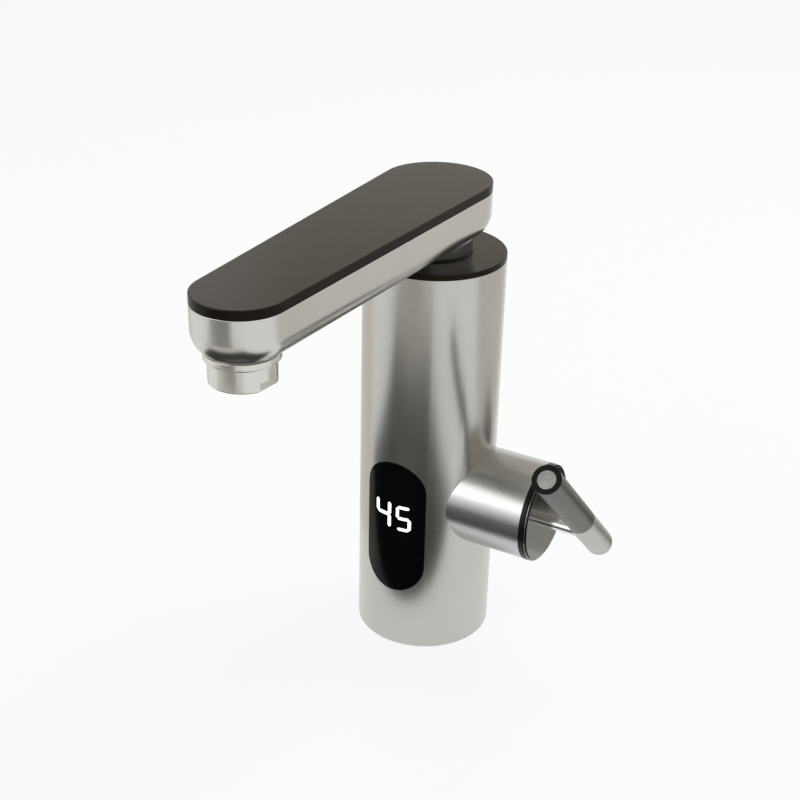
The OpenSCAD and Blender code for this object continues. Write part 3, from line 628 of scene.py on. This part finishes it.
def display_digits(text):
    front, back = LENS_FACE + 0.03 * MM, LENS_FACE - 0.15 * MM
    for n, (character, scale) in enumerate(zip(text, DIGIT_SCALES)):
        across = n - (len(text) - 1) / 2
        shift = Vector((DIGIT_X + across * DIGIT_PITCH, DIGIT_Z - across * DIGIT_STEP))
        verts, faces = [], []
        for letter in SEGMENTS[character]:
            rows = stroke_rows(*segment_line(letter))
            base = len(verts)
            for left, right in rows:
                left, right = left * scale + shift, right * scale + shift
                verts += [wrap(left, front), wrap(right, front), wrap(right, back), wrap(left, back)]
            faces += ring_faces(len(rows), 4, base)
            last = base + 4 * (len(rows) - 1)
            faces += [[base, base + 1, base + 2, base + 3], [last, last + 1, last + 2, last + 3]]
        digit = tidy_normals(new_object("digit_%d" % (n + 1), verts, faces))
        dress(digit, "lit_segments", "column", "white_plastic")


# Arm end

def arm_end_ring():
    inner = ARM_R - 5.6 * MM
    plug = ARM_R - WALL - 0.1 * MM
    plug_end = ARM_END - 2.5 * MM
    ring = revolve("arm_black_ring", [
        (inner, plug_end, 0), (plug, plug_end, 0), (plug, ARM_END, 0), (ARM_R - 0.1 * MM, ARM_END, 0),
        (ARM_R, ARM_END + 0.15 * MM, 0), (ARM_R, RING_END, 0.3 * MM), (inner, RING_END, 0)], ARM_FRAME, 160)
    dress(ring, "black_plastic", "column", "black_plastic", "arm_ring")


def lever_plate():
    """Steel ring with a raised centre; the step between them is black, a painted shadow gap."""
    boss = ARM_R - 7.6 * MM
    boss_end = DISK_BACK - 4.8 * MM
    plate = revolve("lever_plate", [
        (0, boss_end, 0), (boss, boss_end, 0.3 * MM), (boss, DISK_BACK, 0),
        (DISK_R, DISK_BACK, 0.12 * MM), (DISK_R, DISK_STEP, 0.12 * MM), (FACE_R, DISK_STEP, 0),
        (FACE_R, DISK_FACE, 0.1 * MM), (0, DISK_FACE, 0)], ARM_FRAME, 160)
    dress(plate, "polished_steel", "lever", "polished_steel", "lever_disk")
    # Painted shadow: a thin black band over the step's side wall stands in for the shade of a gap there
    inner, outer = FACE_R - 0.1 * MM, FACE_R + 0.06 * MM
    front = DISK_FACE - 0.12 * MM
    step = revolve("plate_step_painted_shadow", [
        (inner, DISK_STEP, 0), (outer, DISK_STEP, 0), (outer, front, 0), (inner, front, 0)], ARM_FRAME, 160)
    dress(step, "black_plastic", "lever", "black_plastic")


# Lever

SEAM = 0.12 * MM


def slanted(a, r, z):
    """Tilts the points near the sleeve's lower end."""
    if abs(z - SLEEVE_LOW) < 2 * SEAM:
        z += tan(SLEEVE_SLANT) * r * cos(a - SLEEVE_TURN)
    return r, z


def lever_hub():
    """Lower end of the lever: a half ball, a short rod and the seat of the sleeve."""
    ball = arc_points((0, -LEVER_DOWN), LEVER_R, -pi / 2, 0, 14)
    corners = [(0, -LEVER_DOWN - LEVER_R, 0)] + [(p.x, p.y, 0) for p in ball[1:]]
    seat = SLEEVE_LOW - SEAM / 4
    corners += [(LEVER_R, SLEEVE_LOW - 1.5 * SEAM, 0), (LEVER_R - SEAM, seat, 0), (0.5 * LEVER_R, seat, 0),
                (0, SLEEVE_LOW, 0)]
    hub = revolve("lever_foot", corners, LEVER_FRAME, 96, slanted)
    dress(hub, "satin_hub", "lever", "satin_steel", "lever_hub")


def grip_sleeve():
    """Tube of the grip, cut at a slant below."""
    inner = LEVER_R - 1.6 * MM
    end = LEVER_UP - TIP_RING
    low = SLEEVE_LOW + SEAM / 4
    corners = [(inner, low, 0), (LEVER_R - SEAM, low, 0), (LEVER_R, SLEEVE_LOW + 1.5 * SEAM, 0),
               (LEVER_R, end, 0), (inner, end, 0)]
    sleeve = revolve("grip_sleeve", corners, LEVER_FRAME, 96, slanted)
    dress(sleeve, "satin_sleeve", "lever", "satin_steel", "lever_grip")


def grip_tip():
    """Black ring over the sleeve's end, with its plug, and the silver disc in it."""
    plug = LEVER_R - 1.65 * MM
    low = LEVER_UP - TIP_RING
    plug_low = low - 7 * MM
    seat = LEVER_UP - 1.5 * MM
    ring = revolve("tip_ring", [
        (0, plug_low, 0), (plug, plug_low, 0.4 * MM), (plug, low, 0), (TIP_RING_R, low, 0.1 * MM),
        (TIP_RING_R, LEVER_UP, 0.2 * MM), (TIP_DISC_R, LEVER_UP, 0.12 * MM), (TIP_DISC_R, seat, 0),
        (0, seat, 0)], LEVER_FRAME, 96)
    dress(ring, "black_plastic", "lever", "black_plastic", "grip_ring")
    disc_r = TIP_DISC_R - 0.02 * MM
    face = LEVER_UP - 0.2 * MM
    disc = revolve("tip_disc", [
        (0, seat, 0), (disc_r, seat, 0), (disc_r, face, 0.12 * MM), (0, face, 0)], LEVER_FRAME, 96)
    dress(disc, "speckled_silver", "lever", "speckled_silver", "grip_end_disc")


# Spout

def tub_levels(shrink, low, high, fillet, steps=14):
    """Levels of a tub: a quarter round from its underside up to the straight wall."""
    turns = [pi / 2 * i / steps for i in range(steps + 1)]
    levels = [(shrink + fillet * (1 - sin(a)), low + fillet * (1 - cos(a))) for a in turns]
    return levels + [(shrink, high)]


def spout_tub():
    """Rounded tub with its hollow, and with the holes for the neck and the nozzle."""
    outer = tub_levels(0, SPOUT_LOW, PANEL_LOW - 0.25 * MM, TUB_FILLET)
    tub = spout_loft("spout_tub", outer + [(0.08 * MM, PANEL_LOW - 0.07 * MM), (0.25 * MM, PANEL_LOW)])
    hollow = spout_loft("hollow", tub_levels(WALL, SPOUT_FLOOR, PANEL_LOW + 5 * MM, TUB_FILLET - WALL))
    under, above = SPOUT_LOW - 5 * MM, SPOUT_FLOOR + 2 * MM
    cut_away(tub, hollow,
             rod("neck_hole", NECK_HOLE_R, under, above),
             rod("nozzle_hole", THREAD_R + 0.05 * MM, under, above, NOZZLE_FRAME),
             rod("flange_seat", FLANGE_R + 0.25 * MM, under, FLANGE_TOP, NOZZLE_FRAME))
    dress(tub, "satin_spout", "spout", "satin_steel", "spout_shell")


def spout_panel():
    """Dark top panel with a rounded edge, a fine shadow gap and a skirt inside the tub."""
    r = PANEL_EDGE
    turns = [pi / 12 * i for i in range(7)]
    edge = [(r * (1 - cos(a)), PANEL_TOP - r * (1 - sin(a))) for a in turns]
    skirt = WALL + 0.15 * MM
    panel = spout_loft("spout_panel", [
        (skirt, PANEL_LOW - 2 * MM), (skirt, PANEL_LOW + 0.12 * MM), (0.3 * MM, PANEL_LOW + 0.12 * MM),
        (0.08 * MM, PANEL_LOW + 0.2 * MM), (0, PANEL_LOW + 0.35 * MM)] + edge)
    dress(panel, "dark_panel", "spout", "dark_panel", "spout_top_panel")


def nozzle():
    """Flange under the spout, and the housing: a shoulder above, two wrench flats below."""
    bore = THREAD_R + 0.05 * MM
    flange = revolve("nozzle_ring", [
        (bore, FLANGE_LOW, 0), (FLANGE_R, FLANGE_LOW, 0.06 * MM), (FLANGE_R, FLANGE_TOP, 0.2 * MM),
        (bore, FLANGE_TOP, 0)], NOZZLE_FRAME)
    dress(flange, "satin_chrome", "spout", "satin_chrome", "nozzle_flange")

    def flats(a, r, z):
        turn = abs((a - NUT_TURN + pi / 2) % pi - pi / 2)
        if z > NUT_FLAT_TOP or r < bore + 0.5 * MM:
            return r, z
        return min(r, (NUT_FLAT + r - NUT_R) / cos(turn)), z

    lip = THREAD_R - 1.2 * MM
    lip_top = NUT_LOW + 0.8 * MM
    nut = revolve("aerator_nut", [
        (lip, NUT_LOW, 0.15 * MM), (NUT_R, NUT_LOW, 0.5 * MM), (NUT_R, NUT_FLAT_TOP, 0),
        (NUT_R, NUT_FLAT_TOP + 0.02 * MM, 0), (NUT_R, NUT_SHOULDER - FLARE, 0.3 * MM),
        (FLANGE_R, NUT_SHOULDER, 0.3 * MM), (FLANGE_R, FLANGE_LOW, 0), (bore, FLANGE_LOW, 0),
        (bore, lip_top, 0), (lip, lip_top, 0)], NOZZLE_FRAME, 256, flats)
    dress(nut, "satin_chrome", "spout", "satin_chrome", "aerator_housing")


# Inside the flow switch

SPRING_TURNS = 5
SPRING_STEPS = 24
SPRING_WIRE = 0.45 * MM
WIRE_SIDES = 12


def return_spring():
    """Coil spring in the place of the flow spring, built to the size of its node."""
    low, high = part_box("flow_spring")
    axis = (low + high) / 2
    middle = (high.x - low.x) / 2 - SPRING_WIRE
    count = SPRING_TURNS * SPRING_STEPS
    verts = []
    for i in range(count + 1):
        a = 2 * pi * i / SPRING_STEPS
        z = low.z + SPRING_WIRE + (high.z - low.z - 2 * SPRING_WIRE) * i / count
        for j in range(WIRE_SIDES):
            b = 2 * pi * j / WIRE_SIDES
            r = middle + SPRING_WIRE * cos(b)
            verts.append(Vector((axis.x + r * cos(a), axis.y + r * sin(a), z + SPRING_WIRE * sin(b))))
    faces = ring_faces(count + 1, WIRE_SIDES)
    faces += [list(range(WIRE_SIDES)), list(range(count * WIRE_SIDES, (count + 1) * WIRE_SIDES))]
    spring = tidy_normals(new_object("return_spring", verts, faces), radians(60))
    spring.data.materials.append(MATERIALS["plain_steel"])
    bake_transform(spring)
    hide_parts("flow_spring")


finish_cad_nodes()
column_cap()
neck()
window_lens()
display_digits("45")
arm_end_ring()
lever_plate()
lever_hub()
grip_sleeve()
grip_tip()
spout_tub()
spout_panel()
nozzle()
return_spring()


# Camera: the photograph's viewing angle

CAMERA_AIM = Vector((-0.0046, -0.0186, 0.1167))
CAMERA_DISTANCE = 0.6102
CAMERA_AZIMUTH = radians(28.97)
CAMERA_ELEVATION = radians(27.11)
CAMERA_ROLL = radians(1.39)
FOCAL_MM = 64.58


def add_camera():
    data = bpy.data.cameras.new("camera")
    data.sensor_width = 36
    data.lens = FOCAL_MM
    data.clip_start = 0.01
    camera = bpy.data.objects.new("camera", data)
    bpy.context.scene.collection.objects.link(camera)
    back = Vector((sin(CAMERA_AZIMUTH) * cos(CAMERA_ELEVATION),
                   -cos(CAMERA_AZIMUTH) * cos(CAMERA_ELEVATION), sin(CAMERA_ELEVATION)))
    right = Vector((cos(CAMERA_AZIMUTH), sin(CAMERA_AZIMUTH), 0))
    up = back.cross(right)
    turned = (cos(CAMERA_ROLL) * right + sin(CAMERA_ROLL) * up,
              -sin(CAMERA_ROLL) * right + cos(CAMERA_ROLL) * up)
    rotation = Matrix((turned[0], turned[1], back)).transposed()
    camera.matrix_world = Matrix.Translation(CAMERA_AIM + CAMERA_DISTANCE * back) @ rotation.to_4x4()
    bpy.context.scene.camera = camera


add_camera()


# Floor, world, lamps and reflector cards

def plane(name, low, high, z, mat):
    (x0, y0), (x1, y1) = low, high
    corners = [(x0, y0, z), (x1, y0, z), (x1, y1, z), (x0, y1, z)]
    obj = new_object(name, corners, [[0, 1, 2, 3]], smooth=False)
    obj.data.materials.append(mat)
    return obj


FLOOR_TONE = 0.86
FLOOR_HALF = 3
WHITE_SHARE = 0.87


def pale_floor():
    """Pale floor whose colour shows as near white, with the object's soft shadow kept."""
    mat, nodes, links, shader = principled("pale_floor", (FLOOR_TONE, FLOOR_TONE, FLOOR_TONE), 0.0, 0.9)
    white = nodes.new("ShaderNodeEmission")
    white.inputs["Color"].default_value = (1, 1, 1, 1)
    path = nodes.new("ShaderNodeLightPath")
    seen = path.outputs["Is Camera Ray"]
    for ray in ("Is Glossy Ray", "Is Transmission Ray"):
        either = nodes.new("ShaderNodeMath")
        either.operation = "MAXIMUM"
        links.new(seen, either.inputs[0])
        links.new(path.outputs[ray], either.inputs[1])
        seen = either.outputs["Value"]
    share = nodes.new("ShaderNodeMath")
    share.operation = "MULTIPLY"
    share.inputs[1].default_value = WHITE_SHARE
    links.new(seen, share.inputs[0])
    mix = nodes.new("ShaderNodeMixShader")
    links.new(share.outputs["Value"], mix.inputs["Fac"])
    links.new(shader.outputs["BSDF"], mix.inputs[1])
    links.new(white.outputs["Emission"], mix.inputs[2])
    links.new(mix.outputs["Shader"], nodes["Material Output"].inputs["Surface"])
    plane("floor", (-FLOOR_HALF, -FLOOR_HALF), (FLOOR_HALF, FLOOR_HALF), 0, mat)


def only_reflected(card):
    """Leaves a card to reflections alone."""
    card.visible_camera = False
    card.visible_diffuse = False
    card.visible_transmission = False
    card.visible_shadow = False


def reflector_card(name, low, high, tone, height=1.5 * MM):
    """Card that only the metal reflects, like the dark basin in front of the real faucet."""
    mat, _, _, _ = principled(name, (tone, tone, tone), 0.0, 0.8)
    only_reflected(plane(name, low, high, height, mat))


def lit_card(name, low, high, y, color):
    """Upright glowing panel between two (x, z) corners, seen only in reflections."""
    mat, _, _, shader = principled(name, (0, 0, 0), 0.0, 1.0, Emission_Strength=1.0)
    shader.inputs["Emission Color"].default_value = (*color, 1)
    (x0, z0), (x1, z1) = low, high
    corners = [(x0, y, z0), (x1, y, z0), (x1, y, z1), (x0, y, z1)]
    obj = new_object(name, corners, [[0, 1, 2, 3]], smooth=False)
    obj.data.materials.append(mat)
    only_reflected(obj)


# Heights of a direction and the colours of the surround there
SKY = [(0.09, (1, 1, 1)), (0.15, (0.84, 0.83, 0.80)), (0.24, (0.84, 0.83, 0.80)),
       (0.355, (0.54, 0.49, 0.40)), (0.9, (0.54, 0.51, 0.46))]


def studio_world():
    """Even surround: white at the horizon, warm grey behind the panel and greyer overhead."""
    world = bpy.data.worlds.new("studio")
    bpy.context.scene.world = world
    world.use_nodes = True
    nodes, links = world.node_tree.nodes, world.node_tree.links
    coords = nodes.new("ShaderNodeTexCoord")
    split = nodes.new("ShaderNodeSeparateXYZ")
    ramp = nodes.new("ShaderNodeValToRGB")
    stops = ramp.color_ramp.elements
    for stop, (height, color) in zip(stops, (SKY[0], SKY[-1])):
        stop.position = height
        stop.color = (*color, 1)
    for height, color in SKY[1:-1]:
        stops.new(height).color = (*color, 1)
    links.new(coords.outputs["Generated"], split.inputs["Vector"])
    links.new(split.outputs["Z"], ramp.inputs["Fac"])
    links.new(ramp.outputs["Color"], nodes["Background"].inputs["Color"])
    nodes["Background"].inputs["Strength"].default_value = 1.0


LAMP_AIM = Vector((0, -0.03, ARM_Z))


def soft_lamp(name, azimuth, elevation, distance, size, power, mirrored):
    """Rectangular lamp; azimuth 0 is in front of the faucet, 90 to its right.

    mirrored says whether polished surfaces show it.
    """
    a, e = radians(azimuth), radians(elevation)
    place = Vector((sin(a) * cos(e), -cos(a) * cos(e), sin(e))) * distance + Vector((0, 0, ARM_Z))
    data = bpy.data.lights.new(name, "AREA")
    data.shape = "RECTANGLE"
    data.size, data.size_y = size
    data.energy = power
    lamp = bpy.data.objects.new(name, data)
    bpy.context.scene.collection.objects.link(lamp)
    lamp.location = place
    lamp.rotation_euler = (LAMP_AIM - place).to_track_quat("-Z", "Y").to_euler()
    lamp.visible_glossy = mirrored


pale_floor()
reflector_card("basin_card", (-0.185, -0.32), (0.15, -0.062), 0.035)
reflector_card("drain_card", (-0.07, -0.185), (0.03, -0.11), 0.13, 2.0 * MM)
reflector_card("rim_card", (-0.30, -0.51), (0.20, -0.32), 0.70)
reflector_card("front_card", (-0.31, -0.95), (0.11, -0.51), 0.13)
reflector_card("rear_card", (0.06, 0.07), (0.90, 0.90), 0.70)
reflector_card("shade_card", (0.10, 0.105), (0.185, 0.185), 0.03, 2.0 * MM)
reflector_card("left_card", (-0.90, -0.05), (-0.09, 0.60), 0.86)
lit_card("wall_card", (-1.4, 0.3), (-0.655, 1.3), 0.8, (0.84, 0.82, 0.78))
studio_world()
soft_lamp("window_lamp", -22, 26, 1.1, (0.60, 0.60), 1.9, True)
soft_lamp("rear_lamp", 150, 58, 1.4, (0.7, 0.7), 9.0, False)
bpy.context.scene.view_settings.view_transform = "Standard"
